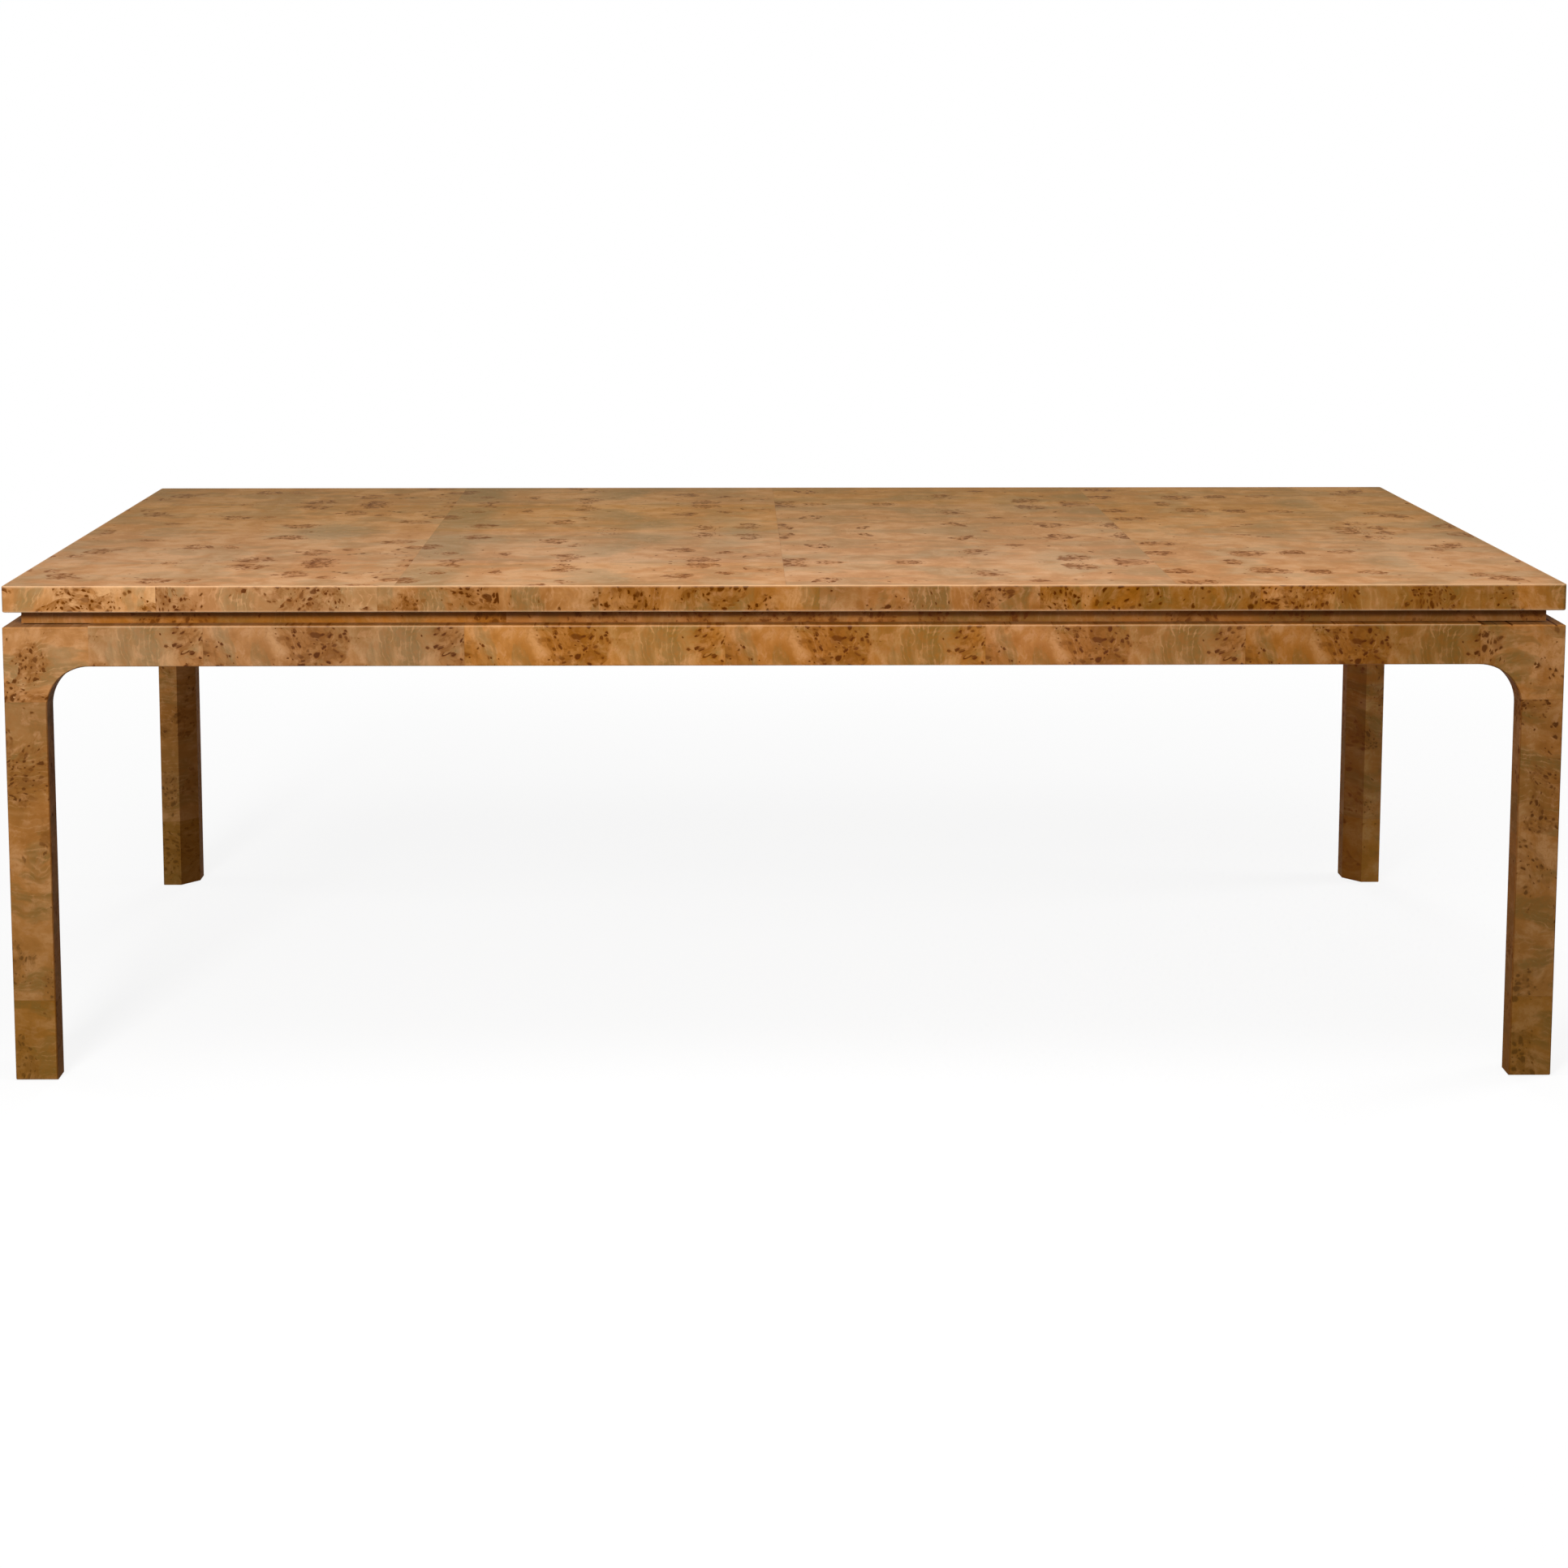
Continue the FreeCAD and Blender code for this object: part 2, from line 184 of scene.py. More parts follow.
# Steps from a pattern to a strength: where they begin and end, and the strengths there if not 0 and 1
PAW_STEP = (1.0, 0.6)
KNOT_STEP = (1.2, 0.7)
KNOT_DEPTH = (0.0, 0.7, 0.5, 0.95)
HALO_STEP = (1.9, 1.1)
PATCH_EDGE = (0.50, 0.525, 0.0, 0.35)
PATCH_BODY = (0.50, 0.60, 0.0, 0.58)
WASH_STEP = (0.48, 0.66)
QUILT_PINK = (0.52, 0.72, 0.0, 0.5)
QUILT_DEEP = (0.48, 0.30, 0.0, 0.5)
STREAK_PALE = (0.5, 0.7, 0.0, 0.22)
STREAK_DEEP = (0.5, 0.3, 0.0, 0.22)
GRAIN_DEEP = (0.5, 0.75, 0.0, 0.5)
FLAME_STEP = (0.50, 0.60, 0.05, 0.6)
FLAME_ON_QUILT = (0.40, 0.56, 0.1, 1.0)
RIB_DEEP = (0.1, -0.9)
RIB_PALE = (0.6, 0.98)
SHEEN_ON_TONE = (0.38, 0.62, 0.7, 1.3)
SMUDGE_SOFT = (0.35, 0.6, 0.2, 1.0)
SMUDGE_DEEP = (0.51, 0.57, 0.0, 0.8)
CONTOUR_STEP = (0.14, 0.02)
KNOT_ON_CONTRAST = (0.0, 1.0, 0.7, 1.0)

# Tones of the ground at which each tan is pure
TONE_STOPS = (0.39, 0.5, 0.61)

# Strengths: the wash on the top and on the strips, what a patch loses in a paw, flames in a patch,
# dark and pale ribs and their height, contours in a paw, on the ground and round a knot, and a knot's stain
WASH = (0.85, 0.5)
PATCH_LOSS = 0.7
FLAME_IN_PATCH = 0.4
RIB_DEEP_STRENGTH = 0.4
RIB_PALE_STRENGTH = 0.65
RIB_HEIGHT = 0.15
CONTOUR_IN_PAW = 0.25
CONTOUR_ON_GROUND = 0.04
CONTOUR_ROUND_KNOT = 0.05
HALO_STAIN = 0.35

# Noises: the middle and the usual range of their values, and kinds of them
MIDDLE = 0.5
USUAL = (0.3, 0.7)
FINE = {"detail": 3.0}
ROUGH = {"detail": 3.0, "roughness": 0.6}
PATCHY = {"detail": 4.0, "roughness": 0.55}
GRAINY = {"detail": 4.0, "roughness": 0.6}

# Burl colours, linear; the stain, olive and knot colours also serve painted shade, and the last two colours
# are painted highlight and painted sheen
TAN_DEEP = (0.300, 0.104, 0.013)
TAN = (0.398, 0.152, 0.029)
TAN_PALE = (0.505, 0.235, 0.080)
OLIVE_AND_SHADE = (0.195, 0.101, 0.021)
PINK = (0.500, 0.235, 0.090)
STAIN_AND_SHADE = (0.235, 0.074, 0.007)
STAIN_DEEP = (0.130, 0.036, 0.001)
KNOT_AND_SHADE = (0.088, 0.020, 0.001)
HIGHLIGHT_PALE = (0.740, 0.460, 0.260)
SHEEN_PALE = (0.620, 0.470, 0.300)

# Other materials: colours, linear, roughness, how often their grain comes back in a metre,
# and how strong the zinc's spangle is
WOOD_COLOURS = ((0.36, 0.23, 0.12), (0.56, 0.40, 0.25))
WOOD_ROUGHNESS = (0.75, 0.6)
WOOD_RATES = (9.0, 9.0, 160.0)
ZINC = (0.62, 0.62, 0.60)
ZINC_ROUGHNESS = (0.25, 0.4)
SPANGLE_RATE = 400.0
SPANGLE = 0.25
HANDLED_RATE = 300.0
NYLON_COLOURS = ((0.03, 0.028, 0.026), (0.06, 0.055, 0.05))
NYLON_ROUGHNESS = (0.5, 0.65)
SPECK_RATE = 900.0

# Floor and light: the floor turns whiter away from the table, over a run in metres,
# and a lamp's widest spread is in degrees
WHITE = (1.0, 1.0, 1.0)
FLOOR_RADIUS = 40.0
FLOOR_SIDES = 96
FLOOR_PALE = (0.98, 0.98, 0.98)
FLOOR_BOUNCE = (0.25, 0.25, 0.25)
FLOOR_WHITENING = (0.86, 1.0)
WHITENING_RUN = (1.0, 3.5)
SURROUNDING_LIGHT = 0.06
FULL_SPREAD = 180.0


class Graph:
    """Adds nodes to one shader tree. A value is a socket, which is linked, or a constant."""

    def __init__(self, tree, space="3D"):
        self.tree = tree
        self.space = space

    def node(self, kind, inputs=None, **settings):
        made = self.tree.nodes.new(kind)
        for name, value in settings.items():
            setattr(made, name, value)
        for key, value in (inputs or {}).items():
            self.feed(made.inputs[key], value)
        return made

    def feed(self, socket, value):
        if isinstance(value, bpy.types.NodeSocket):
            self.tree.links.new(value, socket)
        elif socket.type == "RGBA" and len(value) == 3:
            socket.default_value = (*value, 1.0)
        else:
            socket.default_value = value

    def math(self, operation, *values):
        return self.node("ShaderNodeMath", dict(enumerate(values)), operation=operation).outputs[0]

    def add(self, a, b):
        return self.math("ADD", a, b)

    def less(self, a, b):
        return self.math("SUBTRACT", a, b)

    def times(self, a, b):
        return self.math("MULTIPLY", a, b)

    def vector(self, operation, *values):
        return self.node("ShaderNodeVectorMath", dict(enumerate(values)), operation=operation).outputs[0]

    def scaled(self, vector, factor):
        inputs = {"Vector": vector, "Scale": factor}
        return self.node("ShaderNodeVectorMath", inputs, operation="SCALE").outputs[0]

    def parts(self, vector):
        return self.node("ShaderNodeSeparateXYZ", {0: vector}).outputs

    def joined(self, x, y, z):
        return self.node("ShaderNodeCombineXYZ", {0: x, 1: y, 2: z}).outputs[0]

    def span(self, value, low, high, to_low=0.0, to_high=1.0):
        """A smooth step from to_low at low to to_high at high."""
        inputs = {"Value": value, "From Min": low, "From Max": high, "To Min": to_low, "To Max": to_high}
        return self.node("ShaderNodeMapRange", inputs, interpolation_type="SMOOTHSTEP").outputs[0]

    def blend(self, factor, a, b, mode="MIX"):
        """Colour b where the factor is 1 and a where it is 0."""
        inputs = {0: factor, 6: a, 7: b}
        return self.node("ShaderNodeMix", inputs, data_type="RGBA", blend_type=mode).outputs[2]

    def choose(self, factor, a, b):
        """Vector b where the factor is 1 and a where it is 0."""
        return self.node("ShaderNodeMix", {0: factor, 4: a, 5: b}, data_type="VECTOR").outputs[1]

    def choose_number(self, factor, a, b):
        """Number b where the factor is 1 and a where it is 0."""
        return self.add(self.times(a, self.less(1.0, factor)), self.times(b, factor))

    def noise(self, vector, scale, detail=2.0, roughness=0.5):
        inputs = {"Vector": vector, "Scale": scale, "Detail": detail, "Roughness": roughness}
        return self.node("ShaderNodeTexNoise", inputs, noise_dimensions=self.space)

    def cloud(self, vector, scale, **settings):
        return self.noise(vector, scale, **settings).outputs["Fac"]

    def chance(self, number):
        """A random colour for each number."""
        return self.node("ShaderNodeTexWhiteNoise", {"W": number}, noise_dimensions="1D").outputs["Color"]

    def drift(self, vector, scale, reach, **settings):
        """The vector, moved about by a noise that reaches about so far."""
        noise = self.noise(vector, scale, **settings).outputs["Color"]
        wander = self.vector("SUBTRACT", noise, (MIDDLE, MIDDLE, MIDDLE))
        return self.vector("ADD", vector, self.scaled(wander, reach))

    def moved(self, vector, along, across):
        return self.vector("ADD", vector, (along, across, 0.0))

    def cells(self, vector, scale):
        inputs = {"Vector": vector, "Scale": scale}
        return self.node("ShaderNodeTexVoronoi", inputs, voronoi_dimensions=self.space).outputs

    def ramp(self, value, stops):
        made = self.node("ShaderNodeValToRGB", {0: value})
        ends = made.color_ramp.elements
        while len(ends) < len(stops):
            ends.new(0.5)
        for element, (place, colour) in zip(ends, stops):
            element.position = place
            element.color = (*colour, 1.0)
        return made.outputs[0]

    def place(self):
        """Where a point of the object lies, in metres."""
        return self.node("ShaderNodeTexCoord").outputs["Object"]

    def way(self):
        """The direction of the surface."""
        return self.node("ShaderNodeNewGeometry").outputs["True Normal"]


def shader(name):
    """A new material: the material, its graph and its principled shader."""
    material = bpy.data.materials.new(name)
    material.use_nodes = True
    graph = Graph(material.node_tree)
    return material, graph, material.node_tree.nodes["Principled BSDF"]


def burl_group():
    """The figure of burl veneer at a place on a sheet, in metres, as a colour and a height."""
    tree = bpy.data.node_groups.new("burl", "ShaderNodeTree")
    tree.interface.new_socket("Place", in_out="INPUT", socket_type="NodeSocketVector")
    for name in ("Paws", "Reach", "Stain", "Contrast", "PaintedSheen"):
        tree.interface.new_socket(name, in_out="INPUT", socket_type="NodeSocketFloat")
    tree.interface.new_socket("Colour", in_out="OUTPUT", socket_type="NodeSocketColor")
    tree.interface.new_socket("Height", in_out="OUTPUT", socket_type="NodeSocketFloat")
    g = Graph(tree, "2D")
    given = g.node("NodeGroupInput").outputs
    contrast = given["Contrast"]
    bent = g.drift(given["Place"], *BEND)
    crinkled = g.drift(bent, *CRINKLE, **FINE)

    paw = paw_field(g, bent, given["Paws"], given["Reach"])
    tone = tone_field(g, bent)
    olive = olive_field(g, bent, contrast, paw)
    quilt = g.cloud(g.moved(crinkled, *QUILT_MOVE), QUILT_RATE, **ROUGH)
    flame = flame_field(g, bent)
    core, halo = knot_fields(g, crinkled, paw)

    colour = ground(g, bent, crinkled, contrast, tone, olive, quilt)
    colour = flamed(g, colour, bent, contrast, olive, quilt, flame)
    # Painted sheen: the veneer paler by the amount given, more on its lighter tones
    colour = g.blend(g.times(given["PaintedSheen"], g.span(tone, *SHEEN_ON_TONE)), colour, SHEEN_PALE)
    colour = stained(g, colour, crinkled, g.times(paw, given["Stain"]))
    colour = contoured(g, colour, bent, paw, halo)
    colour = g.blend(g.times(halo, HALO_STAIN), colour, STAIN_AND_SHADE)
    colour = g.blend(g.times(core, g.span(contrast, *KNOT_ON_CONTRAST)), colour, KNOT_AND_SHADE)

    out = g.node("NodeGroupOutput")
    g.feed(out.inputs["Colour"], colour)
    g.feed(out.inputs["Height"], g.less(g.times(flame, RIB_HEIGHT), core))
    return tree


def paw_field(g, bent, rate, reach):
    """Where the knots gather, in paws of several sizes, some of them faint."""
    cell = g.cells(bent, rate)
    chance = g.parts(cell["Color"])
    strength = g.span(chance[0], 0.0, PAW_FAINT_SHARE)
    own_reach = g.times(reach, g.span(chance[1], 0.0, 1.0, *PAW_SIZES))
    ragged = g.times(g.less(g.cloud(bent, PAW_EDGE_RATE, **ROUGH), MIDDLE), PAW_RAGGED)
    away = g.math("DIVIDE", cell["Distance"], g.times(rate, own_reach))
    return g.times(g.span(g.add(away, ragged), *PAW_STEP), strength)


def tone_field(g, bent):
    """Slow and quicker changes of the ground's tone, in equal parts."""
    slow = g.cloud(bent, TONE_RATES[0])
    quick = g.cloud(bent, TONE_RATES[1], **FINE)
    return g.add(g.times(slow, 0.5), g.times(quick, 0.5))


def olive_field(g, bent, contrast, paw):
    """Olive patches, fainter in the paws."""
    stretched = g.vector("MULTIPLY", g.moved(bent, *PATCH_MOVE), PATCH_RATES)
    patch = g.cloud(stretched, 1.0, **PATCHY)
    olive = g.add(g.span(patch, *PATCH_EDGE), g.span(patch, *PATCH_BODY))
    return g.times(g.times(olive, contrast), g.less(1.0, g.times(paw, PATCH_LOSS)))


def flame_field(g, bent):
    """Fine wavy ribs across the sheet."""
    drawn = g.parts(g.drift(bent, *FLAME_BEND, **FINE))[0]
    return g.math("SINE", g.times(drawn, 2.0 * math.pi / RIB_SPACING))


def knot_fields(g, place, paw):
    """Large and small dark eyes in the paws, and the ground close round them."""
    in_paw = g.times(paw, PAW_KNOTS_SHARE)
    large_core, large_halo = knots(g, place, LARGE_KNOTS[0], g.add(in_paw, LARGE_KNOTS[1]))
    small_core, small_halo = knots(g, place, SMALL_KNOTS[0], g.add(in_paw, SMALL_KNOTS[1]))
    return g.math("MAXIMUM", large_core, small_core), g.math("MAXIMUM", large_halo, small_halo)


def knots(g, place, rate, share):
    """Dark eyes in a share of the cells of a foam: the eyes and the ground close round them."""
    eyes = g.cells(place, rate)
    chance = g.parts(eyes["Color"])
    size = g.add(g.times(g.times(chance[0], chance[0]), KNOT_SPREAD), KNOT_SIZE)
    present = g.math("LESS_THAN", chance[1], share)
    near = g.math("DIVIDE", eyes["Distance"], size)
    depth = g.span(chance[2], *KNOT_DEPTH)
    core = g.times(g.times(g.span(near, *KNOT_STEP), depth), present)
    return core, g.times(g.span(near, *HALO_STEP), present)


def ground(g, bent, crinkled, contrast, tone, olive, quilt):
    """The ground: tones, olive patches and washes, a soft quilting, streaks and a fine grain."""
    toned = g.ramp(tone, list(zip(TONE_STOPS, (TAN_DEEP, TAN, TAN_PALE))))
    colour = g.blend(olive, g.blend(contrast, TAN, toned), OLIVE_AND_SHADE)
    wash = g.cloud(g.moved(bent, *WASH_MOVE), WASH_RATE, **FINE)
    washed = g.span(contrast, TOP_CONTRAST, FULL_CONTRAST, *WASH)
    colour = g.blend(g.span(wash, *WASH_STEP, 0.0, washed), colour, OLIVE_AND_SHADE)
    streak = g.cloud(g.vector("MULTIPLY", g.moved(bent, *STREAK_MOVE), STREAK_RATES), 1.0, **FINE)
    layers = [
        (quilt, QUILT_PINK, PINK),
        (quilt, QUILT_DEEP, TAN_DEEP),
        (streak, STREAK_PALE, TAN_PALE),
        (streak, STREAK_DEEP, TAN_DEEP),
    ]
    for field, step, tint in layers:
        colour = g.blend(g.times(g.span(field, *step), contrast), colour, tint)
    grain = g.cloud(g.moved(crinkled, *GRAIN_MOVE), GRAIN_RATE, **ROUGH)
    return g.blend(g.span(grain, *GRAIN_DEEP), colour, TAN_DEEP)


def flamed(g, colour, bent, contrast, olive, quilt, flame):
    """Ribs drawn on the ground, strongest in the olive patches."""
    cloud = g.cloud(g.moved(bent, *FLAME_MOVE), FLAME_RATE)
    here = g.add(g.span(cloud, *FLAME_STEP), g.times(olive, FLAME_IN_PATCH))
    here = g.times(here, g.times(contrast, g.span(quilt, *FLAME_ON_QUILT)))
    deep = g.times(g.span(flame, *RIB_DEEP), g.times(here, RIB_DEEP_STRENGTH))
    pale = g.times(g.span(flame, *RIB_PALE), g.times(here, RIB_PALE_STRENGTH))
    return g.blend(pale, g.blend(deep, colour, TAN_DEEP), TAN_PALE)


def stained(g, colour, crinkled, strength):
    """A brown stain between the knots, with darker smudges."""
    smudge = g.cloud(crinkled, SMUDGE_RATE, **ROUGH)
    colour = g.blend(g.times(strength, g.span(smudge, *SMUDGE_SOFT)), colour, STAIN_AND_SHADE)
    return g.blend(g.times(strength, g.span(smudge, *SMUDGE_DEEP)), colour, STAIN_DEEP)


def contoured(g, colour, bent, paw, halo):
    """Contour lines, which close round the knots."""
    field = g.add(g.cloud(bent, CONTOUR_RATE, **FINE), g.times(halo, CONTOUR_ROUND_KNOT))
    levels = g.math("FRACT", g.times(field, CONTOUR_LEVELS))
    line = g.span(g.math("ABSOLUTE", g.less(levels, 0.5)), *CONTOUR_STEP)
    strength = g.add(g.times(paw, CONTOUR_IN_PAW), CONTOUR_ON_GROUND)
    return g.blend(g.times(line, strength), colour, STAIN_DEEP)


burl_tree = burl_group()


def burl(g, place, paws, contrast, painted_sheen):
    """The colour and the height of the burl figure at a place on a sheet."""
    inputs = {"Place": place, "Contrast": contrast, "PaintedSheen": painted_sheen}
    inputs.update(zip(("Paws", "Reach", "Stain"), paws))
    return g.node("ShaderNodeGroup", inputs, node_tree=burl_tree).outputs


def facing(g):
    """The size of each part of the surface's direction."""
    return g.parts(g.vector("ABSOLUTE", g.way()))


def looks_inwards(g, point):
    """1 on upright faces that are turned to the middle of the table."""
    way = g.parts(g.way())
    outwards = g.add(g.times(point[0], way[0]), g.times(point[1], way[1]))
    return g.math("LESS_THAN", outwards, -INNER_FROM)


def faces_middle(g, point):
    """1 on upright faces of the legs that are turned to the table's other end."""
    way = g.parts(g.way())
    return g.math("LESS_THAN", g.times(point[0], way[0]), -INNER_FROM)


def looks_down(g):
    """1 on faces that are turned to the floor."""
    return g.math("LESS_THAN", g.parts(g.way())[2], -LEVEL)


def side_run(g, point, size):
    """How far along its side a point on an upright face lies."""
    on_end = g.math("GREATER_THAN", size[0], size[1])
    return g.choose_number(on_end, point[0], point[1])


def left_sheen(g, along, most):
    """How strongly painted sheen makes the veneer paler towards the left end."""
    return g.span(along, *SHEEN_RUN, most, 0.0)


def sheets(g, along, width, start):
    """Sheets of veneer along one way: each one's number and how far a point lies from the nearest seam."""
    run = g.math("DIVIDE", g.less(along, start), width)
    share = g.math("FRACT", run)
    to_seam = g.times(g.math("MINIMUM", share, g.less(1.0, share)), width)
    return g.math("FLOOR", run), to_seam


def mirrored(g, along, width, start):
    """Places on sheets in a row, each the mirror image of its neighbours."""
    return g.math("PINGPONG", g.less(along, start), width)


def shuffled(g, along, across, number, seed):
    """Places on sheets in a row, each cut from another part of the burl."""
    cut = g.scaled(g.chance(g.add(number, seed)), CUTS_APART)
    return g.vector("ADD", g.joined(along, across, 0.0), cut)


def seamed(g, colour, to_seam, number, tones, hue=SAME_HUE):
    """Darkens the seams a little and gives each sheet its own tone, from a seed and a spread."""
    seed, spread = tones
    own = g.parts(g.chance(g.add(number, seed)))
    tint = {"Color": colour, "Hue": hue}
    tint["Value"] = g.span(own[0], 0.0, 1.0, g.less(1.0, spread), g.add(1.0, spread))
    tint["Saturation"] = g.span(own[1], 0.0, 1.0, *SATURATION)
    toned = g.node("ShaderNodeHueSaturation", tint).outputs[0]
    seam = g.span(to_seam, SEAM_WIDTH, SEAM_CORE_SHARE * SEAM_WIDTH, 0.0, SEAM_DARKNESS)
    return g.blend(seam, toned, KNOT_AND_SHADE)


def edge_highlighted(g, colour, height, low, high, strength):
    """Painted highlights: veneer paler along its lower and upper edges."""
    to_edge = g.math("MINIMUM", g.less(height, low), g.less(high, height))
    return g.blend(g.span(to_edge, *HIGHLIGHT_WIDTH, 0.0, strength), colour, HIGHLIGHT_PALE)


def rim_highlighted(g, colour, point):
    """The upper face of the top, paler along its rim with a painted highlight."""
    to_end = g.less(cad_high.x, g.math("ABSOLUTE", point[0]))
    to_side = g.less(cad_high.y, g.math("ABSOLUTE", point[1]))
    to_rim = g.math("MINIMUM", to_end, to_side)
    return g.blend(g.span(to_rim, *RIM_HIGHLIGHT_WIDTH, 0.0, RIM_HIGHLIGHT), colour, HIGHLIGHT_PALE)


def lacquer(g, principled, colour, height, gloss):
    """Satin lacquer over a veneer."""
    g.feed(principled.inputs["Base Color"], colour)
    g.feed(principled.inputs["Roughness"], g.span(height, *LACQUER_HEIGHTS, *LACQUER_ROUGHNESS))
    principled.inputs["Specular IOR Level"].default_value = gloss
    bump = g.node("ShaderNodeBump", {**LACQUER_BUMP, "Height": height})
    g.feed(principled.inputs["Normal"], bump.outputs[0])


def bare_wood(g):
    """The colour and the grain of plain hardwood."""
    grain = g.cloud(g.vector("MULTIPLY", g.place(), WOOD_RATES), 1.0, **GRAINY)
    return g.ramp(grain, list(zip(USUAL, WOOD_COLOURS))), grain


def top_material():
    """Columns of sheets on the top, mirrored from row to row, and a row of sheets round its edge."""
    material, g, principled = shader("burl_top")
    point = g.parts(g.place())
    size = facing(g)
    flat = g.math("GREATER_THAN", size[2], LEVEL)

    # The upper face
    column, to_column = sheets(g, point[0], TOP_SHEET[0], TOP_START[0])
    row, to_row = sheets(g, point[1], TOP_SHEET[1], TOP_START[1])
    top_y = mirrored(g, point[1], TOP_SHEET[1], TOP_START[1])
    top_place = shuffled(g, top_y, point[0], column, TOP_CUT)
    # Painted sheen: the top paler towards the front, with a hue shift from front to back
    top_painted_sheen = g.span(point[1], *TOP_DEPTH, *TOP_PAINTED_SHEEN)
    top_sheen_hue = g.span(point[1], *TOP_DEPTH, *TOP_SHEEN_HUE)

    # The edge
    run = side_run(g, point, size)
    number, to_edge = sheets(g, run, EDGE_SHEET, EDGE_START)
    edge_place = shuffled(g, run, point[2], number, EDGE_CUT)

    # Both
    paws = [g.span(flat, 0.0, 1.0, strip, top) for strip, top in zip(STRIP_PAWS, TOP_PAWS)]
    contrast = g.span(flat, 0.0, 1.0, FULL_CONTRAST, TOP_CONTRAST)
    # Painted sheen: the edge paler towards the left end, the upper face paler towards the front
    painted_sheen = g.choose_number(flat, left_sheen(g, run, EDGE_SHEEN), top_painted_sheen)
    figure = burl(g, g.choose(flat, edge_place, top_place), paws, contrast, painted_sheen)
    to_seam = g.choose_number(flat, to_edge, g.math("MINIMUM", to_column, to_row))
    sheet = g.choose_number(flat, number, g.add(column, g.times(row, ROW_STEP)))
    tones = (TOP_TONES[0], g.choose_number(flat, EDGE_SPREAD, TOP_TONES[1]))
    hue = g.choose_number(flat, SAME_HUE, top_sheen_hue)
    colour = seamed(g, figure["Colour"], to_seam, sheet, tones, hue)
    # Painted highlights: paler along the edge's upper and lower rims and round the rim of the upper face
    edge_colour = edge_highlighted(g, colour, point[2], rim_low.z, cad_high.z, EDGE_HIGHLIGHT)
    colour = g.blend(g.less(1.0, flat), rim_highlighted(g, colour, point), edge_colour)
    hidden = g.math("MAXIMUM", looks_inwards(g, point), looks_down(g))
    colour = g.blend(hidden, colour, bare_wood(g)[0])
    lacquer(g, principled, colour, figure["Height"], TOP_GLOSS)
    return material


def apron_material():
    """A row of sheets cut one after the other from the same burl, so the figure comes back in each."""
    material, g, principled = shader("burl_apron")
    point = g.parts(g.place())
    size = facing(g)
    run = side_run(g, point, size)
    number, to_seam = sheets(g, run, APRON_SHEET, APRON_START)
    in_sheet = g.math("FLOORED_MODULO", g.less(run, APRON_START), APRON_SHEET)
    deeper = g.add(point[2], g.times(number, APRON_DEEPER))
    place = g.moved(g.joined(in_sheet, deeper, 0.0), *APRON_CUT)
    # Painted sheen: paler towards the left end
    figure = burl(g, place, STRIP_PAWS, FULL_CONTRAST, left_sheen(g, run, APRON_SHEEN))
    colour = seamed(g, figure["Colour"], to_seam, number, APRON_TONES)
    # Painted highlight: paler along the apron's upper edge and, less, its lower edge
    face = edge_highlighted(g, colour, point[2], apron_low.z - APRON_FOOT_SPARED, apron_high.z, APRON_HIGHLIGHT)
    # Painted shade: the ledge under the top darkened
    ledge = g.math("GREATER_THAN", size[2], LEVEL)
    colour = g.blend(ledge, face, g.blend(LEDGE_SHADE, colour, STAIN_AND_SHADE))
    colour = g.blend(looks_inwards(g, point), colour, bare_wood(g)[0])
    lacquer(g, principled, colour, figure["Height"], STRIP_GLOSS)
    return material


def neck_material():
    """A row of sheets, darker all over and darker still in the corner under the top, both painted shade."""
    material, g, principled = shader("burl_neck")
    point = g.parts(g.place())
    run = side_run(g, point, facing(g))
    number, to_seam = sheets(g, run, NECK_SHEET, NECK_START)
    place = shuffled(g, run, point[2], number, NECK_CUT)
    figure = burl(g, place, STRIP_PAWS, NECK_CONTRAST, 0.0)
    # Painted shade: the whole neck darkened
    colour = seamed(g, g.blend(NECK_PAINTED_SHADE, figure["Colour"], STAIN_AND_SHADE), to_seam, number, NECK_TONES)
    # Painted shade: darker still in the corner under the top
    shade_heights = [rim_low.z - depth for depth in NECK_CORNER_SHADE_DEPTHS]
    colour = g.blend(g.span(point[2], *shade_heights, 0.0, NECK_CORNER_SHADE), colour, KNOT_AND_SHADE)
    colour = g.blend(looks_inwards(g, point), colour, bare_wood(g)[0])
    lacquer(g, principled, colour, figure["Height"], STRIP_GLOSS)
    return material


def leg_material():
    """Sheets one above the other round a leg, darker and more olive towards its foot and darker on its
    inner faces with painted shade, and paler near its top at the left end with painted sheen.
    """
    material, g, principled = shader("burl_leg")
    point = g.parts(g.place())
    number, to_seam = sheets(g, point[2], LEG_SHEET, LEG_START)
    corner = g.add(g.math("SIGN", point[0]), g.times(g.math("SIGN", point[1]), BACK_LEG_STEPS))
    own = g.add(number, g.times(corner, LEG_STEP))
    place = shuffled(g, point[2], side_run(g, point, facing(g)), own, LEG_CUT)
    # Painted sheen: paler towards the left end, near the top of the leg
    painted_sheen = g.times(left_sheen(g, point[0], LEG_SHEEN), g.span(point[2], *LEG_SHEEN_HEIGHTS))
    figure = burl(g, place, STRIP_PAWS, FULL_CONTRAST, painted_sheen)
    # Painted shade: darker and more olive towards the foot
    darker = g.span(point[2], *LEG_FOOT_SHADE_HEIGHTS, *LEG_FOOT_SHADE)
    colour = seamed(g, g.blend(darker, figure["Colour"], OLIVE_AND_SHADE), to_seam, number, LEG_TONES)
    # Painted shade: darker on the inner faces
    colour = g.blend(g.times(faces_middle(g, point), INNER_SHADE), colour, KNOT_AND_SHADE)
    lacquer(g, principled, colour, figure["Height"], LEG_GLOSS)
    return material


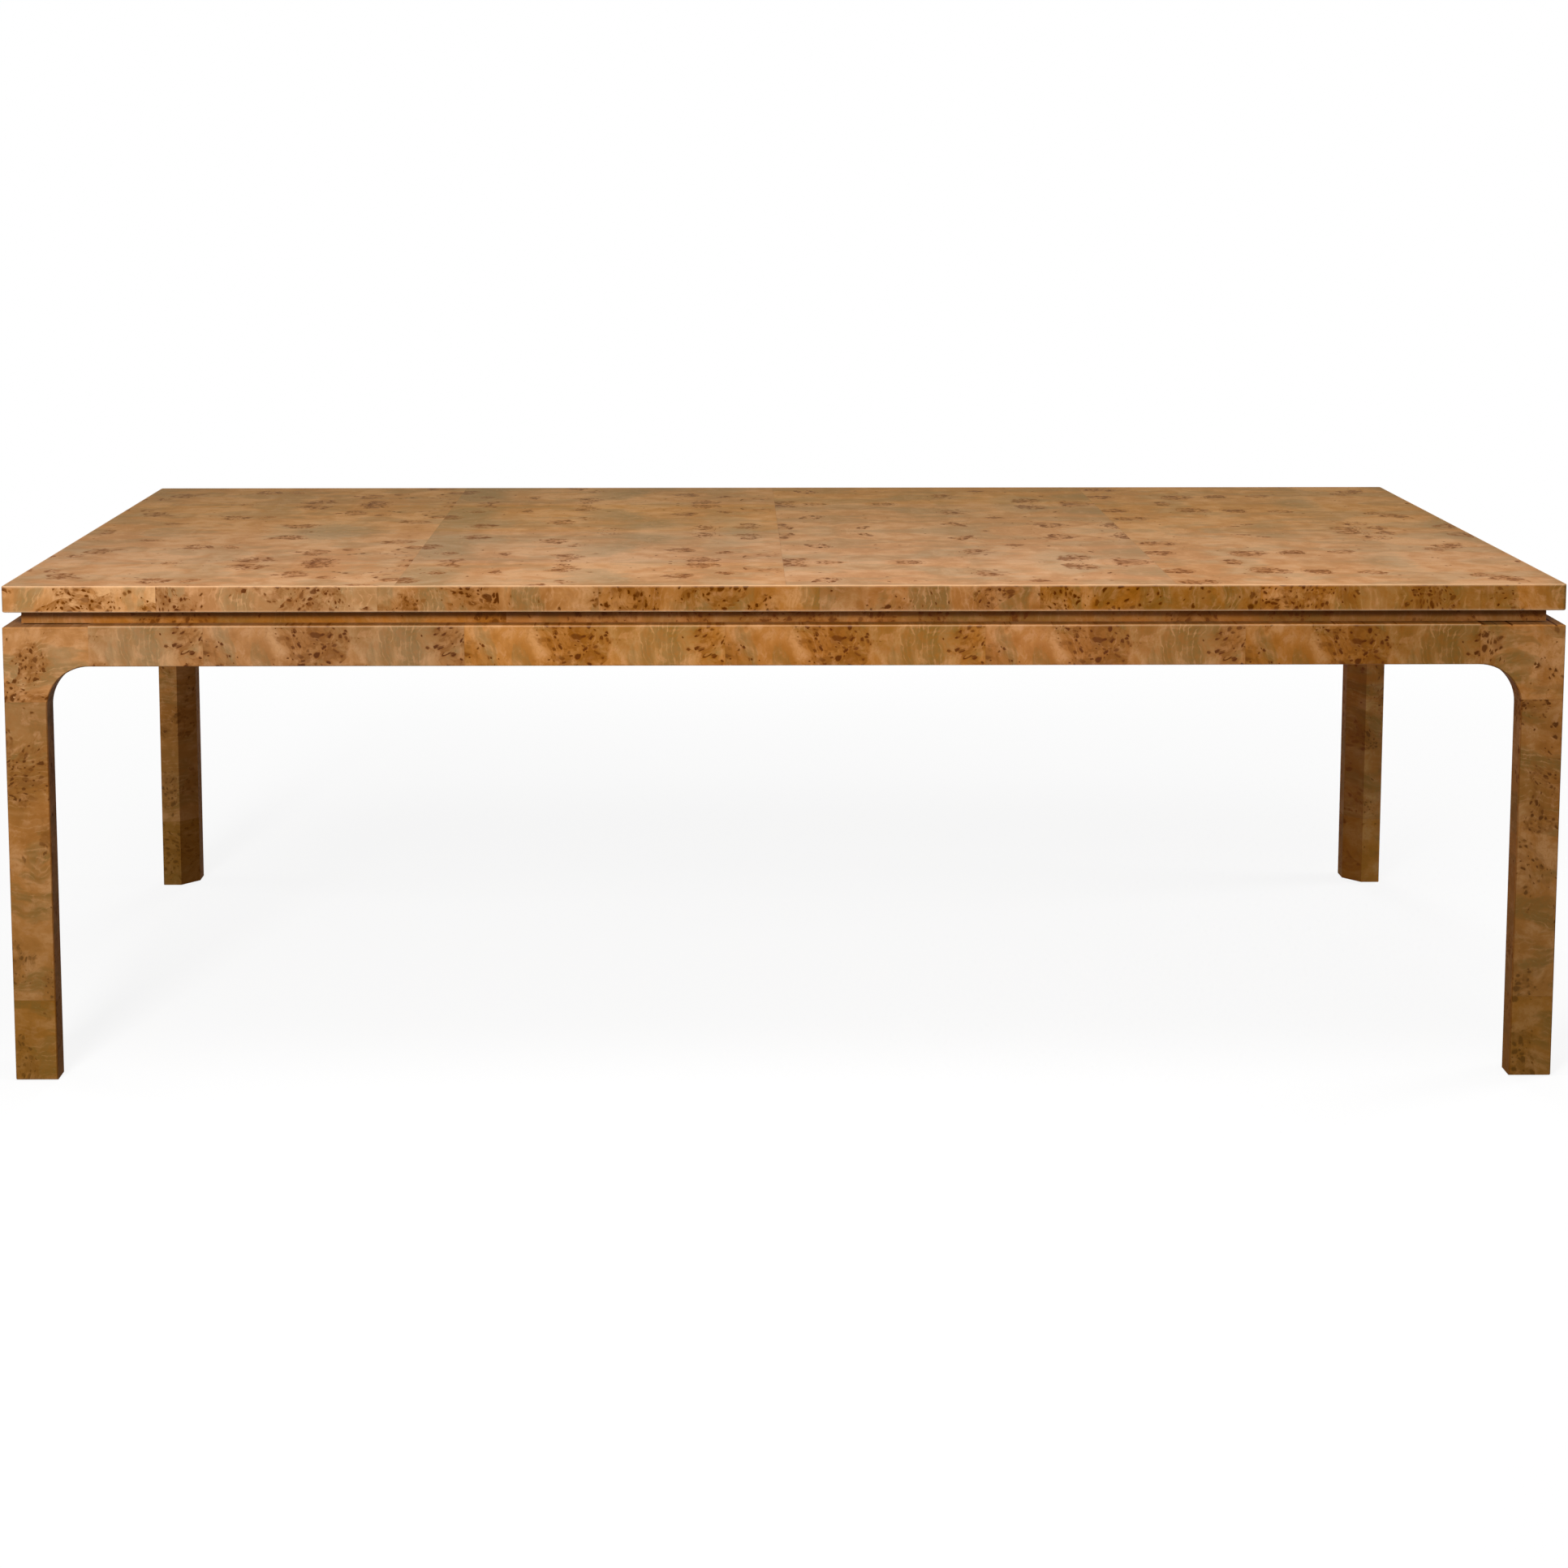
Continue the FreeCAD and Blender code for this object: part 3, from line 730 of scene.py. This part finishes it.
def plain_wood():
    """Hardwood with no finish."""
    material, g, principled = shader("plain_hardwood")
    colour, grain = bare_wood(g)
    g.feed(principled.inputs["Base Color"], colour)
    g.feed(principled.inputs["Roughness"], g.span(grain, *USUAL, *WOOD_ROUGHNESS))
    return material


def zinc():
    """Zinc-plated steel with a fine spangle."""
    material, g, principled = shader("zinc_steel")
    place = g.place()
    spangle = g.cells(place, SPANGLE_RATE)["Color"]
    g.feed(principled.inputs["Base Color"], g.blend(SPANGLE, ZINC, spangle, "SOFT_LIGHT"))
    principled.inputs["Metallic"].default_value = 1.0
    g.feed(principled.inputs["Roughness"], g.span(g.cloud(place, HANDLED_RATE), *USUAL, *ZINC_ROUGHNESS))
    return material


def nylon():
    """Dark nylon with fine specks."""
    material, g, principled = shader("dark_nylon")
    speck = g.cloud(g.place(), SPECK_RATE, **FINE)
    g.feed(principled.inputs["Base Color"], g.ramp(speck, list(zip(USUAL, NYLON_COLOURS))))
    g.feed(principled.inputs["Roughness"], g.span(speck, *USUAL, *NYLON_ROUGHNESS))
    return material


def dress():
    """Gives every piece its finish by the start of its name."""
    top = top_material()
    finishes = {
        "top_board": top,
        "top_rim": top,
        "frame_rail": neck_material(),
        "apron": apron_material(),
        "leg": leg_material(),
        "corner_brace": plain_wood(),
        "foot_glides": nylon(),
    }
    finishes["cross_rail"] = finishes["corner_brace"]
    hardware = zinc()
    for name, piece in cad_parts.items():
        starts = [start for start in finishes if name.startswith(start) and not name.endswith("screws")]
        finish = finishes[starts[0]] if starts else hardware
        for slot in piece.material_slots:
            slot.material = finish


def seen_directly(g):
    """1 for rays that come from the camera, a mirror or glass."""
    path = g.node("ShaderNodeLightPath").outputs
    glossy = g.math("MAXIMUM", path["Is Glossy Ray"], path["Is Transmission Ray"])
    return g.math("MAXIMUM", path["Is Camera Ray"], glossy)


def surroundings():
    """White where they are seen, and a weak light from all sides."""
    scene = bpy.context.scene
    scene.view_settings.view_transform = "Standard"
    world = bpy.data.worlds.new("studio")
    scene.world = world
    world.use_nodes = True
    g = Graph(world.node_tree)
    backdrop = world.node_tree.nodes["Background"]
    g.feed(backdrop.inputs["Color"], WHITE)
    g.feed(backdrop.inputs["Strength"], g.span(seen_directly(g), 0.0, 1.0, SURROUNDING_LIGHT, 1.0))


def floor_material():
    """A pale floor that takes the table's shadow and turns white further out."""
    material = bpy.data.materials.new("pale_floor")
    material.use_nodes = True
    material.node_tree.nodes.clear()
    g = Graph(material.node_tree)
    seen = seen_directly(g)
    cover = g.node("ShaderNodeBsdfDiffuse", {"Color": g.blend(seen, FLOOR_BOUNCE, FLOOR_PALE)})
    glow = g.node("ShaderNodeEmission", {"Color": WHITE, "Strength": 1.0})
    reach = g.node("ShaderNodeVectorMath", {0: g.place()}, operation="LENGTH").outputs["Value"]
    whitening = g.times(seen, g.span(reach, *WHITENING_RUN, *FLOOR_WHITENING))
    mixed = g.node("ShaderNodeMixShader", {0: whitening, 1: cover.outputs[0], 2: glow.outputs[0]})
    g.feed(g.node("ShaderNodeOutputMaterial").inputs["Surface"], mixed.outputs[0])
    return material


def lay_floor():
    """A wide floor under the feet."""
    disc = {"vertices": FLOOR_SIDES, "radius": FLOOR_RADIUS, "fill_type": "NGON"}
    bpy.ops.mesh.primitive_circle_add(**disc, location=(0.0, 0.0, cad_low.z))
    floor = bpy.context.object
    floor.name = "floor"
    floor.data.materials.append(floor_material())


def lamp(name, place, target, size, power, spread=FULL_SPREAD):
    """A square lamp that looks at a target: metres, watts and degrees."""
    data = bpy.data.lights.new(name, "AREA")
    data.size = size
    data.energy = power
    data.spread = math.radians(spread)
    made = bpy.data.objects.new(name, data)
    bpy.context.collection.objects.link(made)
    made.location = place
    way = [end - start for start, end in zip(place, target)]
    flat = math.hypot(way[0], way[1])
    made.rotation_euler = (math.atan2(flat, -way[2]), 0.0, math.atan2(-way[0], way[1]))
    return made


def lights():
    """Soft light from the upper left and from above, and weaker light on the other sides."""
    lamp("key", place=(-1.6, -3.9, 2.45), target=(-0.4, -0.4, 0.5), size=1.0, power=142.0)
    lamp("low", place=(-3.0, -6.0, 1.0), target=(-0.3, -0.3, 0.4), size=1.0, power=55.0)
    lamp("above_left", place=(-0.7, -0.75, 2.4), target=(-0.6, -0.7, 0.7), size=1.0, power=17.0)
    lamp("above_right", place=(0.9, -0.75, 2.2), target=(0.8, -0.7, 0.7), size=0.8, power=16.2)
    lamp("under", place=(-2.6, -4.2, 0.5), target=(1.12, 0.47, 0.32), size=0.5, power=0.6, spread=12.0)
    fills = [
        lamp("left", place=(-3.6, 0.6, 1.15), target=(-1.1, 0.0, 0.5), size=1.0, power=14.0),
        lamp("right", place=(3.6, 0.6, 1.3), target=(1.1, 0.0, 0.5), size=1.0, power=40.0),
        lamp("back", place=(0.0, 4.2, 1.1), target=(0.0, 0.5, 0.5), size=1.4, power=80.0),
    ]
    for fill in fills:
        fill.visible_glossy = False


def camera():
    """The photograph's viewpoint."""
    data = bpy.data.cameras.new("camera")
    data.lens = CAMERA_LENS
    data.shift_x, data.shift_y = CAMERA_SHIFT
    made = bpy.data.objects.new("camera", data)
    bpy.context.collection.objects.link(made)
    made.location = CAMERA_PLACE
    made.rotation_euler = (math.radians(90.0 - CAMERA_TILT), 0.0, math.radians(-CAMERA_TURN))
    bpy.context.scene.camera = made


dress()
surroundings()
lay_floor()
lights()
camera()
